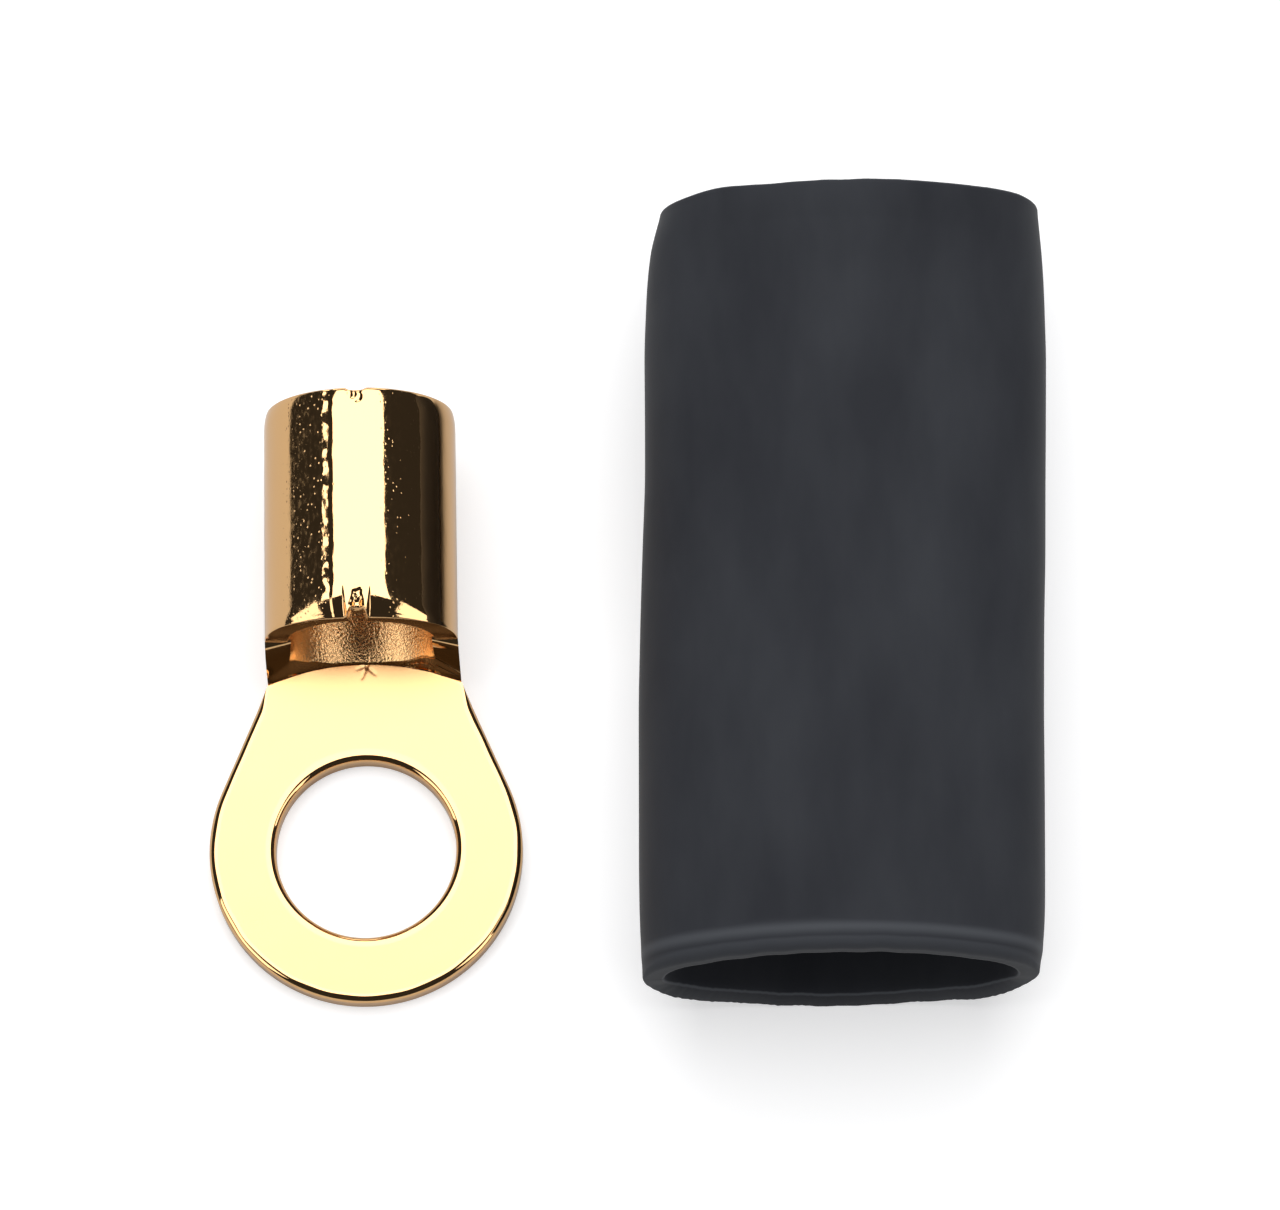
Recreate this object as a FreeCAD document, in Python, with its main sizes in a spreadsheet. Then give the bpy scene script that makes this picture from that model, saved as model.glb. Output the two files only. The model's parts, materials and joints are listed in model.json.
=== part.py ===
"""Heat shrink ring terminal: a pressed and rolled ring terminal, and the sleeve that shrinks over it.

Frame: +Z up, the stud hole's axis is Z, the underside of the ring is z = 0, and the wire barrel runs
along +Y. The sleeve lies beside the terminal, on the same surface.
"""

import FreeCAD
import Part
import Sketcher
import math
import os

V = FreeCAD.Vector

# Millimetres, and degrees where the name ends in angle. The first column is the cell's alias.
SIZES = [
    ("sheet_thickness", 1.2, "brass strip that the terminal is pressed from"),
    ("coining_depth", 0.12, "how far the ring's flat is pressed below the strip's own face"),
    ("coining_radius", 11.6, "round nose of the punch that leaves the crease"),
    ("crease_distance", 8.84, "stud hole axis to the crease, on the centre line"),
    ("stud_hole_diameter", 8.4, "clears an M8 or 5/16 inch stud"),
    ("ring_diameter", 14.6, "outside of the ring"),
    ("ring_edge_radius", 0.34, "rounding of the ring's upper edges"),
    ("curl_lead", 0.16, "how far before the crease's corners the strip starts to curl"),
    ("trough_root_length", 0.6, "how far the trough runs on into the barrel's wall"),
    ("neck_width", 9.1, "width of the tongue at the crease"),
    ("barrel_distance", 8.9, "stud hole axis to the barrel's near rim"),
    ("barrel_length", 11.0, "length of the rolled barrel"),
    ("barrel_diameter", 8.97, "outside of the rolled barrel"),
    ("barrel_lip_radius", 0.3, "rounding of the barrel's outer lips"),
    ("barrel_taper_length", 1.1, "far end, drawn in a little by the rolling"),
    ("barrel_taper_depth", 0.12, "how much the far end is drawn in, each side"),
    ("bore_chamfer", 0.14, "break of the bore's edges"),
    ("seam_groove_radius", 0.8, "round bottom of the shallow groove along the brazed seam"),
    ("seam_groove_depth", 0.045, "depth of that groove"),
    ("near_notch_width", 1.1, "seam corners that stay open at the near rim"),
    ("near_notch_depth", 0.34, "length of that notch along the barrel"),
    ("near_notch_floor", 0.68, "its width at the bottom"),
    ("far_notch_width", 0.95, "seam corners that stay open at the far rim"),
    ("far_notch_depth", 0.42, "length of that notch along the barrel"),
    ("far_notch_floor", 0.66, "its width at the bottom"),
    ("sleeve_length", 37.3, "cut length of the sleeve"),
    ("sleeve_width", 18.7, "across the pressed tube"),
    ("sleeve_height", 11.3, "height of the pressed tube"),
    ("sleeve_side_radius", 4.0, "outside radius of its two folded sides"),
    ("sleeve_wall", 1.0, "wall of the expanded tube"),
    ("sleeve_far_width", 17.6, "across the far end, which is less pressed"),
    ("sleeve_far_height", 12.1, "height of the far end"),
    ("sleeve_mouth_width", 18.0, "across the near mouth"),
    ("sleeve_shoulder_width", 18.4, "across the shoulder, where the far end starts to close in"),
    ("sleeve_shoulder_height", 11.5, "height at that shoulder"),
    ("sleeve_shoulder_length", 2.6, "far end to that shoulder"),
    ("sleeve_far_length", 5.6, "length over which the far end changes shape"),
    ("sleeve_mouth_length", 5.0, "length over which the near mouth changes shape"),
    ("sleeve_skew_angle", 1.75, "both cuts, seen from above"),
    ("sleeve_rake_angle", 1.9, "near cut, seen from the side: its lower lip stands forward"),
    ("sleeve_far_rake_angle", 4.2, "far cut, seen from the side: its lower lip stands back"),
    ("sleeve_across", 22.39, "stud hole axis to the sleeve's middle, across"),
    ("sleeve_along", 10.94, "stud hole axis to the sleeve's middle, along"),
    ("sleeve_yaw_angle", 2.0, "how far the sleeve lies out of line with the barrel"),
]

# How far the strip has curled, in degrees each side of its lowest line, at each section of the trough.
TURNS = [22.5, 45.0, 67.5, 90.0]

# The strip starts to curl a little before the crease's corners.
CURL_START = ("(sizes.crease_distance - sizes.coining_radius"
              " + sqrt(sizes.coining_radius ^ 2 - sizes.neck_width ^ 2 / 4) - sizes.curl_lead)")


def make_sheet(doc):
    """The driving dimensions, one named cell each, with what it measures beside it."""
    sheet = doc.addObject("Spreadsheet::Sheet", "sizes")
    for row, (name, value, note) in enumerate(SIZES, start=1):
        sheet.set("A%d" % row, name)
        sheet.set("B%d" % row, str(value))
        sheet.set("C%d" % row, note)
        sheet.setAlias("B%d" % row, name)
    doc.recompute()
    return sheet


def new_body(doc, label):
    """A body whose label names its file."""
    body = doc.addObject("PartDesign::Body", label)
    body.Label = label
    return body


def new_sketch(body, name, role, offset="0", yaw="0", rake="0"):
    """A sketch on the body's own origin plane of that role, moved along the plane's normal."""
    plane = [item for item in body.Origin.OriginFeatures if item.Role == role][0]
    sketch = body.newObject("Sketcher::SketchObject", name)
    sketch.AttachmentSupport = [(plane, "")]
    sketch.MapMode = "FlatFace"
    sketch.setExpression("AttachmentOffset.Base.z", offset)
    if (yaw, rake) != ("0", "0"):
        sketch.setExpression("AttachmentOffset.Rotation.Yaw", "0")
        sketch.setExpression("AttachmentOffset.Rotation.Pitch", yaw)
        sketch.setExpression("AttachmentOffset.Rotation.Roll", rake)
    body.Document.recompute()
    return sketch


def bind(sketch, expression, *constraint):
    """Adds a constraint whose value follows the expression."""
    index = sketch.addConstraint(Sketcher.Constraint(*constraint))
    sketch.setExpression("Constraints[%d]" % index, expression)


def tie(sketch, *constraint):
    """Adds a constraint without a value."""
    sketch.addConstraint(Sketcher.Constraint(*constraint))


def join_ends(sketch, curves):
    """Joins each curve's end to the next one's start, round the loop."""
    for here, after in zip(curves, curves[1:] + curves[:1]):
        tie(sketch, "Coincident", here[0], here[2], after[0], after[1])


def edges_where(feature, test):
    """Names of the feature's edges that pass the test, for a fillet."""
    return ["Edge%d" % number for number, edge in enumerate(feature.Shape.Edges, start=1) if test(edge)]


def fillet(body, name, base, edges, radius):
    """A fillet of the base's edges, with its radius bound."""
    feature = body.newObject("PartDesign::Fillet", name)
    feature.Base = (base, edges)
    feature.setExpression("Radius", radius)
    body.Document.recompute()
    return feature


def all_near(edge, height):
    """Whether the edge lies at that height all along."""
    box = edge.BoundBox
    return abs(box.ZMin - height) < 1e-4 and abs(box.ZMax - height) < 1e-4


def draw_tongue(body, sheet):
    """Plan of the ring and its neck, up to the crease that the punch leaves."""
    sketch = new_sketch(body, "TonguePlan", "XY_Plane")
    ring_radius = sheet.ring_diameter / 2
    half_neck = sheet.neck_width / 2
    punch_y = sheet.crease_distance - sheet.coining_radius
    corner_y = punch_y + math.sqrt(sheet.coining_radius ** 2 - half_neck ** 2)
    reach = math.hypot(half_neck, corner_y)
    touch = math.atan2(corner_y, half_neck) - math.acos(ring_radius / reach)
    start = V(ring_radius * math.cos(touch), ring_radius * math.sin(touch), 0)
    circle = Part.Circle(V(0, 0, 0), V(0, 0, 1), ring_radius)
    ring = sketch.addGeometry(Part.ArcOfCircle(circle, math.pi - touch, 2 * math.pi + touch))
    right = sketch.addGeometry(Part.LineSegment(start, V(half_neck, corner_y, 0)))
    punch = Part.Circle(V(0, punch_y, 0), V(0, 0, 1), sheet.coining_radius)
    lean = math.asin(half_neck / sheet.coining_radius)
    crease = sketch.addGeometry(Part.ArcOfCircle(punch, math.pi / 2 - lean, math.pi / 2 + lean))
    left = sketch.addGeometry(Part.LineSegment(V(-half_neck, corner_y, 0), V(-start.x, start.y, 0)))
    tie(sketch, "Coincident", ring, 3, -1, 1)
    tie(sketch, "Tangent", ring, 2, right, 1)
    tie(sketch, "Coincident", right, 2, crease, 1)
    tie(sketch, "Coincident", crease, 2, left, 1)
    tie(sketch, "Tangent", left, 2, ring, 1)
    tie(sketch, "PointOnObject", crease, 3, -2)
    bind(sketch, "sizes.ring_diameter / 2", "Radius", ring, ring_radius)
    bind(sketch, "sizes.coining_radius", "Radius", crease, sheet.coining_radius)
    bind(sketch, "sizes.crease_distance - sizes.coining_radius", "DistanceY", -1, 1, crease, 3, punch_y)
    bind(sketch, "sizes.neck_width / 2", "DistanceX", -1, 1, crease, 1, half_neck)
    bind(sketch, "sizes.neck_width / 2", "DistanceX", crease, 2, -1, 1, half_neck)
    return sketch


def draw_strip(body, sheet):
    """Section of the strip where it is still flat, at the crease's corners."""
    sketch = new_sketch(body, "TroughFlat", "XZ_Plane", "-%s" % CURL_START)
    half = sheet.neck_width / 2
    top = sheet.sheet_thickness
    corners = [V(-half, 0, 0), V(half, 0, 0), V(half, top, 0), V(-half, top, 0)]
    sides = [(sketch.addGeometry(Part.LineSegment(a, b)), 1, 2)
             for a, b in zip(corners, corners[1:] + corners[:1])]
    join_ends(sketch, sides)
    bottom, right, upper, left = [side[0] for side in sides]
    tie(sketch, "Horizontal", bottom)
    tie(sketch, "Vertical", right)
    tie(sketch, "Horizontal", upper)
    tie(sketch, "Symmetric", bottom, 1, bottom, 2, -1, 1)
    tie(sketch, "Vertical", left)
    bind(sketch, "sizes.neck_width", "DistanceX", bottom, 1, bottom, 2, 2 * half)
    bind(sketch, "sizes.sheet_thickness", "DistanceY", right, 1, right, 2, top)
    return sketch


def draw_curl(body, sheet, turn):
    """Section of the strip where it has curled by turn degrees each side of its lowest line."""
    # At this share of the way to the rim the strip's cut edge lies on a straight climb.
    share = math.tan(math.radians(turn / 2))
    place = "-(%s * (1 - %.6f) + sizes.barrel_distance * %.6f)" % (CURL_START, share, share)
    sketch = new_sketch(body, "Trough%d" % round(turn * 10), "XZ_Plane", place)
    # The strip is as wide as the neck at the crease and as wide as the barrel at the rim.
    width = "(sizes.neck_width * (1 - %.6f) + sizes.barrel_diameter * %.6f)" % (share, share)
    outer_rule = "%s / 2 / sin(%s deg)" % (width, turn)
    inner_rule = "%s - sizes.sheet_thickness" % outer_rule
    half = (sheet.neck_width * (1 - share) + sheet.barrel_diameter * share) / 2
    outer = half / math.sin(math.radians(turn))
    inner = outer - sheet.sheet_thickness
    centre = V(0, outer, 0)
    low = 1.5 * math.pi - math.radians(turn)
    high = 1.5 * math.pi + math.radians(turn)

    def at(radius, angle):
        return V(radius * math.cos(angle), outer + radius * math.sin(angle), 0)

    under = sketch.addGeometry(Part.ArcOfCircle(Part.Circle(centre, V(0, 0, 1), outer), low, high))
    right = sketch.addGeometry(Part.LineSegment(at(outer, high), at(inner, high)))
    upper = sketch.addGeometry(Part.ArcOfCircle(Part.Circle(centre, V(0, 0, 1), inner), low, high))
    left = sketch.addGeometry(Part.LineSegment(at(inner, low), at(outer, low)))
    join_ends(sketch, [(under, 1, 2), (right, 1, 2), (upper, 2, 1), (left, 1, 2)])
    tie(sketch, "Coincident", under, 3, upper, 3)
    tie(sketch, "PointOnObject", under, 3, -2)
    tie(sketch, "PointOnObject", under, 3, right)
    tie(sketch, "PointOnObject", under, 3, left)
    bind(sketch, outer_rule, "DistanceY", -1, 1, under, 3, outer)
    bind(sketch, outer_rule, "Radius", under, outer)
    bind(sketch, inner_rule, "Radius", upper, inner)
    bind(sketch, "%s deg" % (90 + turn), "Angle", right, math.radians(90 + turn))
    bind(sketch, "%s deg" % (270 - turn), "Angle", left, math.radians(270 - turn))
    return sketch


def draw_barrel(body, sheet):
    """Half section of the barrel's wall, to be turned about its axis."""
    sketch = new_sketch(body, "BarrelSection", "YZ_Plane")
    start = sheet.barrel_distance
    end = start + sheet.barrel_length
    outer = sheet.barrel_diameter / 2
    inner = outer - sheet.sheet_thickness
    far = outer - sheet.barrel_taper_depth
    lip = sheet.barrel_lip_radius
    cut = sheet.bore_chamfer
    taper = end - sheet.barrel_taper_length

    def at(along, radius):
        return V(along, outer + radius, 0)

    def line(a, b):
        return sketch.addGeometry(Part.LineSegment(a, b))

    def lip_arc(centre, first, last):
        return sketch.addGeometry(Part.ArcOfCircle(Part.Circle(centre, V(0, 0, 1), lip), first, last))

    quarter = math.pi / 2
    axis = line(V(start, outer, 0), V(end, outer, 0))
    sketch.toggleConstruction(axis)
    bore = line(at(start + cut, inner), at(end - cut, inner))
    far_break = line(at(end - cut, inner), at(end, inner + cut))
    far_face = line(at(end, inner + cut), at(end, far - lip))
    far_lip = lip_arc(at(end - lip, far - lip), 0, quarter)
    taper_line = line(at(end - lip, far), at(taper, outer))
    top = line(at(taper, outer), at(start + lip, outer))
    near_lip = lip_arc(at(start + lip, outer - lip), quarter, 2 * quarter)
    near_face = line(at(start, outer - lip), at(start, inner + cut))
    near_break = line(at(start, inner + cut), at(start + cut, inner))
    corners = [(bore, far_break), (far_break, far_face), (taper_line, top), (near_face, near_break),
               (near_break, bore)]
    for here, after in corners:
        tie(sketch, "Coincident", here, 2, after, 1)
    for here, after in ((far_face, far_lip), (far_lip, taper_line), (top, near_lip), (near_lip, near_face)):
        tie(sketch, "Tangent", here, 2, after, 1)
    tie(sketch, "Horizontal", axis)
    tie(sketch, "Horizontal", bore)
    tie(sketch, "Horizontal", top)
    tie(sketch, "Vertical", far_face)
    tie(sketch, "Vertical", near_face)
    bind(sketch, "sizes.barrel_distance", "DistanceX", -1, 1, axis, 1, start)
    bind(sketch, "sizes.barrel_diameter / 2", "DistanceY", -1, 1, axis, 1, outer)
    bind(sketch, "sizes.barrel_length", "DistanceX", axis, 1, axis, 2, end - start)
    bind(sketch, "sizes.barrel_diameter / 2 - sizes.sheet_thickness", "DistanceY", axis, 1, bore, 1, inner)
    bind(sketch, "sizes.barrel_diameter / 2", "DistanceY", axis, 1, top, 2, outer)
    bind(sketch, "sizes.barrel_distance", "DistanceX", -1, 1, near_face, 1, start)
    bind(sketch, "sizes.barrel_distance + sizes.barrel_length", "DistanceX", -1, 1, far_face, 1, end)
    bind(sketch, "sizes.bore_chamfer", "DistanceX", near_face, 2, bore, 1, cut)
    bind(sketch, "sizes.bore_chamfer", "DistanceY", bore, 1, near_face, 2, cut)
    bind(sketch, "sizes.bore_chamfer", "DistanceX", bore, 2, far_face, 1, cut)
    bind(sketch, "sizes.bore_chamfer", "DistanceY", bore, 2, far_face, 1, cut)
    bind(sketch, "sizes.barrel_lip_radius", "Radius", near_lip, lip)
    bind(sketch, "sizes.barrel_lip_radius", "Radius", far_lip, lip)
    bind(sketch, "sizes.barrel_diameter / 2 - sizes.barrel_taper_depth",
         "DistanceY", axis, 1, taper_line, 1, far)
    bind(sketch, "sizes.barrel_taper_length", "DistanceX", top, 1, far_face, 1, end - taper)
    return sketch, axis


def draw_notch(body, sheet, key, edge_rule, edge, inward):
    """Plan of a notch left where the seam's corners stay open. It starts outside the rim.

    The key is the first part of its sizes' names, and inward is 1 or -1, along the barrel.
    """
    sketch = new_sketch(body, key.title().replace("_", "") + "Plan", "XY_Plane", "sizes.barrel_diameter / 2")
    width = getattr(sheet, key + "_width")
    depth = getattr(sheet, key + "_depth")
    floor = getattr(sheet, key + "_floor")
    inner = edge + inward * depth
    outside = edge - inward * depth
    spread = width + (width - floor)
    corners = [V(-spread / 2, outside, 0), V(spread / 2, outside, 0),
               V(floor / 2, inner, 0), V(-floor / 2, inner, 0)]
    sides = [(sketch.addGeometry(Part.LineSegment(a, b)), 1, 2)
             for a, b in zip(corners, corners[1:] + corners[:1])]
    join_ends(sketch, sides)
    mouth, right, bottom, left = [side[0] for side in sides]
    tie(sketch, "Symmetric", mouth, 1, mouth, 2, -2)
    tie(sketch, "Symmetric", bottom, 1, bottom, 2, -2)
    bind(sketch, "2 * sizes.%s_width - sizes.%s_floor" % (key, key), "DistanceX", mouth, 1, mouth, 2, spread)
    bind(sketch, "sizes.%s_floor" % key, "DistanceX", bottom, 2, bottom, 1, floor)
    step = "sizes.%s_depth * %d" % (key, inward)
    bind(sketch, "%s - %s" % (edge_rule, step), "DistanceY", -1, 1, mouth, 1, outside)
    bind(sketch, "%s + %s" % (edge_rule, step), "DistanceY", -1, 1, bottom, 1, inner)
    return sketch


def draw_oval(body, sheet, name, place, width_key, height_key, inset, yaw="0", rake="0"):
    """Section of the pressed tube: two wide arcs above and below, and two tight ones at its sides.

    The inset moves the section inwards by a share of the wall: 0 for the outside, 1 for the bore.
    """
    sketch = new_sketch(body, name, "XZ_Plane", place, yaw, rake)
    wall = sheet.sleeve_wall * inset
    half_width = getattr(sheet, width_key) / 2
    half_height = getattr(sheet, height_key) / 2
    centre_z = half_height
    side = sheet.sleeve_side_radius
    reach = half_width - side
    wide = (reach ** 2 + half_height ** 2 - side ** 2) / (2 * (half_height - side))
    lean = math.asin(reach / (wide - side))
    side -= wall
    wide -= wall
    half_height -= wall
    drop = wide - half_height
    normal = V(0, 0, 1)

    def arc(x, z, radius, first, last):
        circle = Part.Circle(V(x, centre_z + z, 0), normal, radius)
        return sketch.addGeometry(Part.ArcOfCircle(circle, first, last))

    quarter = math.pi / 2
    lower = arc(0, drop, wide, -quarter - lean, -quarter + lean)
    right = arc(reach, 0, side, -quarter + lean, quarter - lean)
    upper = arc(0, -drop, wide, quarter - lean, quarter + lean)
    left = arc(-reach, 0, side, quarter + lean, 3 * quarter - lean)
    for here, after in ((lower, right), (right, upper), (upper, left)):
        tie(sketch, "Tangent", here, 2, after, 1)
    tie(sketch, "Coincident", left, 2, lower, 1)
    tie(sketch, "Symmetric", lower, 1, lower, 2, -2)
    tie(sketch, "Symmetric", upper, 1, upper, 2, -2)
    half_rule = "sizes.%s / 2" % width_key
    height_rule = "sizes.%s / 2" % height_key
    inset_rule = "sizes.sleeve_wall * %d" % inset
    bind(sketch, "sizes.sleeve_side_radius - %s" % inset_rule, "Radius", right, side)
    bind(sketch, height_rule, "DistanceY", -1, 1, right, 3, centre_z)
    bind(sketch, "%s - sizes.sleeve_side_radius" % half_rule, "DistanceX", -1, 1, right, 3, reach)
    wide_rule = ("((%s - sizes.sleeve_side_radius) ^ 2 + (%s) ^ 2 - sizes.sleeve_side_radius ^ 2)"
                 " / (2 * (%s - sizes.sleeve_side_radius)) - %s"
                 % (half_rule, height_rule, height_rule, inset_rule))
    bind(sketch, wide_rule, "Radius", lower, wide)
    bind(sketch, wide_rule, "Radius", upper, wide)
    return sketch


def make_terminal(doc, sheet):
    """Flat ring, trough neck and rolled barrel, one strip of plated brass."""
    body = new_body(doc, "ring_terminal")

    # The ring and neck, pressed flat, with the stud hole punched through.
    plan = draw_tongue(body, sheet)
    tongue = body.newObject("PartDesign::Pad", "Tongue")
    tongue.Profile = plan
    tongue.setExpression("Length", "sizes.sheet_thickness - sizes.coining_depth")
    doc.recompute()
    hole_plan = new_sketch(body, "StudHolePlan", "XY_Plane")
    circle = Part.Circle(V(0, 0, 0), V(0, 0, 1), sheet.stud_hole_diameter / 2)
    hole_circle = hole_plan.addGeometry(circle)
    tie(hole_plan, "Coincident", hole_circle, 3, -1, 1)
    bind(hole_plan, "sizes.stud_hole_diameter / 2", "Radius", hole_circle, sheet.stud_hole_diameter / 2)
    hole = body.newObject("PartDesign::Pocket", "StudHole")
    hole.Profile = hole_plan
    hole.Reversed = True
    hole.Type = "ThroughAll"
    doc.recompute()

    # The punch rolls the upper edges over and leaves the lower ones sharp. The crease's edge stays.
    top = sheet.sheet_thickness - sheet.coining_depth

    half_neck = sheet.neck_width / 2
    corner_y = (sheet.crease_distance - sheet.coining_radius
                + math.sqrt(sheet.coining_radius ** 2 - half_neck ** 2))

    def on_crease(edge):
        return edge.CenterOfMass.y > corner_y

    upper = edges_where(hole, lambda edge: all_near(edge, top) and not on_crease(edge))
    fillet(body, "UpperEdges", hole, upper, "sizes.ring_edge_radius")

    # The trough: the strip curls up from flat to half round in the short way to the rim.
    flat = draw_strip(body, sheet)
    curls = [draw_curl(body, sheet, turn) for turn in TURNS]
    trough = body.newObject("PartDesign::AdditiveLoft", "Trough")
    trough.Profile = flat
    trough.Sections = curls
    doc.recompute()
    root = body.newObject("PartDesign::Pad", "TroughRoot")
    root.Profile = curls[-1]
    root.Reversed = True
    root.setExpression("Length", "sizes.trough_root_length")
    doc.recompute()

    # The punch's flat, which meets the trough's floor in the crease.
    punch_plan = draw_punch(body, sheet)
    flat_cut = body.newObject("PartDesign::Pocket", "CoinedFlat")
    flat_cut.Profile = punch_plan
    flat_cut.Reversed = True
    flat_cut.Type = "ThroughAll"
    doc.recompute()

    # The barrel, rolled round and brazed shut along its top.
    section, axis = draw_barrel(body, sheet)
    barrel = body.newObject("PartDesign::Revolution", "Barrel")
    barrel.Profile = section
    barrel.ReferenceAxis = (section, ["Axis0"])
    barrel.Angle = 360
    doc.recompute()

    seam_plan = new_sketch(body, "SeamSection", "XZ_Plane")
    groove_z = sheet.barrel_diameter + sheet.seam_groove_radius - sheet.seam_groove_depth
    groove = seam_plan.addGeometry(Part.Circle(V(0, groove_z, 0), V(0, 0, 1), sheet.seam_groove_radius))
    tie(seam_plan, "PointOnObject", groove, 3, -2)
    bind(seam_plan, "sizes.seam_groove_radius", "Radius", groove, sheet.seam_groove_radius)
    bind(seam_plan, "sizes.barrel_diameter + sizes.seam_groove_radius - sizes.seam_groove_depth",
         "DistanceY", -1, 1, groove, 3, groove_z)
    seam = body.newObject("PartDesign::Pocket", "SeamGroove")
    seam.Profile = seam_plan
    seam.Type = "ThroughAll"
    doc.recompute()

    near = sheet.barrel_distance
    far = near + sheet.barrel_length
    notches = [
        ("near_notch", "sizes.barrel_distance", near, 1),
        ("far_notch", "(sizes.barrel_distance + sizes.barrel_length)", far, -1),
    ]
    for key, rule, edge, inward in notches:
        notch_plan = draw_notch(body, sheet, key, rule, edge, inward)
        notch = body.newObject("PartDesign::Pocket", key.title().replace("_", ""))
        notch.Profile = notch_plan
        notch.Reversed = True
        notch.Type = "ThroughAll"
        doc.recompute()
    return body


def draw_punch(body, sheet):
    """Plan of the punch's face: its round nose at the crease, and straight sides clear of the ring."""
    sketch = new_sketch(body, "PunchPlan", "XY_Plane", "sizes.sheet_thickness - sizes.coining_depth")
    nose = sheet.coining_radius
    centre_y = sheet.crease_distance - nose
    back_y = centre_y - nose
    corners = [V(nose, centre_y, 0), V(nose, back_y, 0), V(-nose, back_y, 0), V(-nose, centre_y, 0)]
    arc = sketch.addGeometry(Part.ArcOfCircle(Part.Circle(V(0, centre_y, 0), V(0, 0, 1), nose), 0, math.pi))
    left = sketch.addGeometry(Part.LineSegment(corners[3], corners[2]))
    back = sketch.addGeometry(Part.LineSegment(corners[2], corners[1]))
    right = sketch.addGeometry(Part.LineSegment(corners[1], corners[0]))
    tie(sketch, "Tangent", arc, 2, left, 1)
    tie(sketch, "Coincident", left, 2, back, 1)
    tie(sketch, "Coincident", back, 2, right, 1)
    tie(sketch, "Tangent", right, 2, arc, 1)
    tie(sketch, "PointOnObject", arc, 3, -2)
    tie(sketch, "Vertical", left)
    tie(sketch, "Horizontal", back)
    tie(sketch, "Vertical", right)
    bind(sketch, "sizes.coining_radius", "Radius", arc, nose)
    bind(sketch, "sizes.crease_distance - sizes.coining_radius", "DistanceY", -1, 1, arc, 3, centre_y)
    bind(sketch, "sizes.coining_radius", "DistanceY", right, 1, right, 2, nose)
    return sketch


def make_sleeve(doc, sheet):
    """Expanded heat shrink tube, pressed oval, with both ends cut a little askew."""
    body = new_body(doc, "heat_shrink_sleeve")
    half = "sizes.sleeve_length / 2"
    # Sections run from the near mouth to the far end. The plane's normal is -Y.
    stations = [
        ("Mouth", half, "sleeve_mouth_width", "sleeve_height",
         "sizes.sleeve_skew_angle", "-sizes.sleeve_rake_angle"),
        ("NearBody", "%s - sizes.sleeve_mouth_length" % half, "sleeve_width", "sleeve_height", "0", "0"),
        ("FarBody", "sizes.sleeve_far_length - %s" % half, "sleeve_width", "sleeve_height", "0", "0"),
        ("Shoulder", "sizes.sleeve_shoulder_length - %s" % half, "sleeve_shoulder_width",
         "sleeve_shoulder_height", "0", "0"),
        ("FarEnd", "-(%s)" % half, "sleeve_far_width", "sleeve_far_height",
         "sizes.sleeve_skew_angle", "sizes.sleeve_far_rake_angle"),
    ]
    for inset, kind, name in ((0, "PartDesign::AdditiveLoft", "Outside"),
                              (1, "PartDesign::SubtractiveLoft", "Bore")):
        sketches = []
        for station, place, width_key, height_key, yaw, rake in stations:
            sketches.append(draw_oval(body, sheet, station + name, place, width_key, height_key,
                                      inset, yaw, rake))
        loft = body.newObject(kind, name)
        loft.Profile = sketches[0]
        loft.Sections = sketches[1:]
        loft.Ruled = True
        doc.recompute()

    body.setExpression("Placement.Base.x", "sizes.sleeve_across")
    body.setExpression("Placement.Base.y", "sizes.sleeve_along")
    body.setExpression("Placement.Rotation.Angle", "-sizes.sleeve_yaw_angle")
    doc.recompute()
    return body


def check_document(doc):
    """Stops when any object failed to compute."""
    for item in doc.Objects:
        bad = [state for state in item.State if state in ("Invalid", "Error")]
        if bad:
            raise RuntimeError("%s is %s" % (item.Label, ", ".join(bad)))


def main():
    doc = FreeCAD.newDocument("heat_shrink_ring_terminal")
    sheet = make_sheet(doc)
    bodies = [make_terminal(doc, sheet), make_sleeve(doc, sheet)]
    doc.recompute()
    check_document(doc)
    for body in bodies:
        shape = body.Shape
        if shape.isNull() or not shape.isValid() or len(shape.Solids) != 1:
            raise RuntimeError("%s isn't one valid solid" % body.Label)
    os.makedirs("parts", exist_ok=True)
    for body in bodies:
        body.Shape.exportStep("parts/%s.step" % body.Label)
        print(body.Label, round(body.Shape.Volume, 3), body.Shape.BoundBox)


main()
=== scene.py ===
"""Heat shrink ring terminal with its loose sleeve: skins, finishes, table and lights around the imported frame.

The frame gives the sizes that the terminal and the sleeve were built to. Each of the two is one mesh of closed
skins here, dense enough for what a bright plated surface mirrors, and it stands for its own node.
"""
import json
import math

import bpy
import numpy as np
from mathutils import Matrix, Vector


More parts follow.
